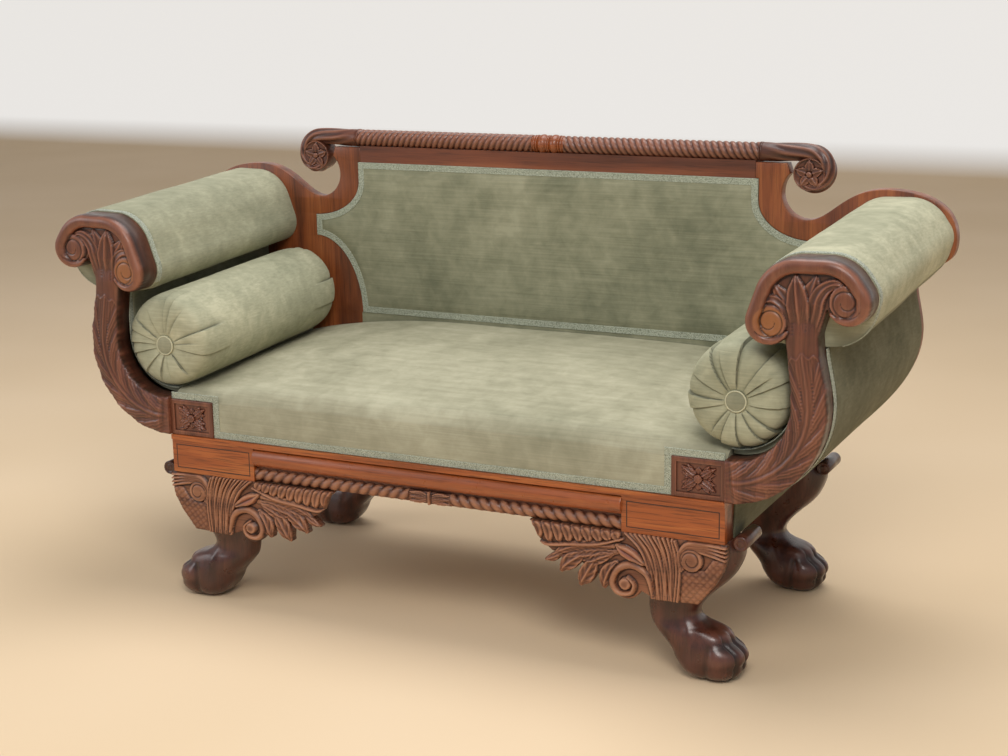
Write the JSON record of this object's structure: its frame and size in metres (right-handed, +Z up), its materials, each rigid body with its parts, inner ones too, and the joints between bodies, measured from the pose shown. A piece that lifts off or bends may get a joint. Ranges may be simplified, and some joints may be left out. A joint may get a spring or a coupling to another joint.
{
  "type": "settee",
  "caption": "Small Empire settee with scrolled arms, rope-twist crest rail, winged brackets, paw legs, velvet seat and back, and loose bolsters.",
  "frame": {"origin": "on the floor under the middle of the settee, halfway between its front and back extremes", "axes": "+X along the seat to the sitter's left (the picture's right), +Y from front to back, +Z up"},
  "size_m": [1.678, 0.63, 0.9002],
  "materials": {
    "mahogany": "old shellac polish, satin",
    "light_mahogany": "old shellac polish, satin",
    "dark_mahogany": "worn dark stain, satin",
    "ebonised_inlay": "dark string line under polish",
    "frame_wood": "bare secondary wood",
    "velvet": "sage green cotton velvet",
    "gimp": "woven grey-green braid",
    "jute": "jute webbing",
    "hessian": "plain hessian",
    "lining_cloth": "plain sage cloth",
    "screw_steel": "plain steel wood screws"
  },
  "bodies": {
    "frame": {"front_rail": "frame_wood", "back_rail": "frame_wood", "end_rail_left": "frame_wood", "end_rail_right": "frame_wood", "seat_stretchers": "frame_wood", "corner_blocks": "frame_wood", "corner_block_screws": "screw_steel", "rail_panel_left": "mahogany", "rail_panel_right": "mahogany", "string_inlay": "ebonised_inlay", "rail_fillet": "mahogany", "half_round_moulding": "light_mahogany", "rope_moulding_left": "mahogany", "rope_moulding_right": "mahogany", "rope_centre_leaf": "mahogany", "rosette_block_left": "mahogany", "rosette_block_right": "mahogany", "leg_front_left": "dark_mahogany", "leg_front_right": "dark_mahogany", "leg_rear_left": "dark_mahogany", "leg_rear_right": "dark_mahogany", "bracket_left": "mahogany", "bracket_right": "mahogany", "arm_front_left": "mahogany", "arm_front_right": "mahogany", "arm_roll_core_left": "frame_wood", "arm_roll_core_right": "frame_wood", "arm_roll_cover_left": "velvet", "arm_roll_cover_right": "velvet", "arm_inner_pad_left": "velvet", "arm_inner_pad_right": "velvet", "arm_outer_cover_left": "velvet", "arm_outer_cover_right": "velvet", "arm_slats_left": "frame_wood", "arm_slats_right": "frame_wood", "back_board_left": "mahogany", "back_board_right": "mahogany", "crest_board": "mahogany", "crest_twist_left": "mahogany", "crest_twist_right": "mahogany", "crest_centre": "light_mahogany", "crest_scroll_left": "mahogany", "crest_scroll_right": "mahogany", "back_lower_rail": "frame_wood", "back_webbing": "jute", "back_pad": "velvet", "back_outer_cover": "lining_cloth", "seat_webbing": "jute", "seat_hessian": "hessian", "seat_pad": "velvet", "gimp_seat": "gimp", "gimp_arm_left": "gimp", "gimp_arm_right": "gimp", "gimp_back": "gimp"},
    "left_bolster": {"bolster_left": "velvet", "bolster_buttons_left": "velvet"},
    "right_bolster": {"bolster_right": "velvet", "bolster_buttons_right": "velvet"}
  },
  "joints": [
    {"name": "lift_bolster_left", "type": "slide", "parent": "frame", "child": "left_bolster", "axis": [0.866, 0, 0.5], "range_m": [0, 0.28]},
    {"name": "lift_bolster_right", "type": "slide", "parent": "frame", "child": "right_bolster", "axis": [-0.866, 0, 0.5], "range_m": [0, 0.28]}
  ]
}
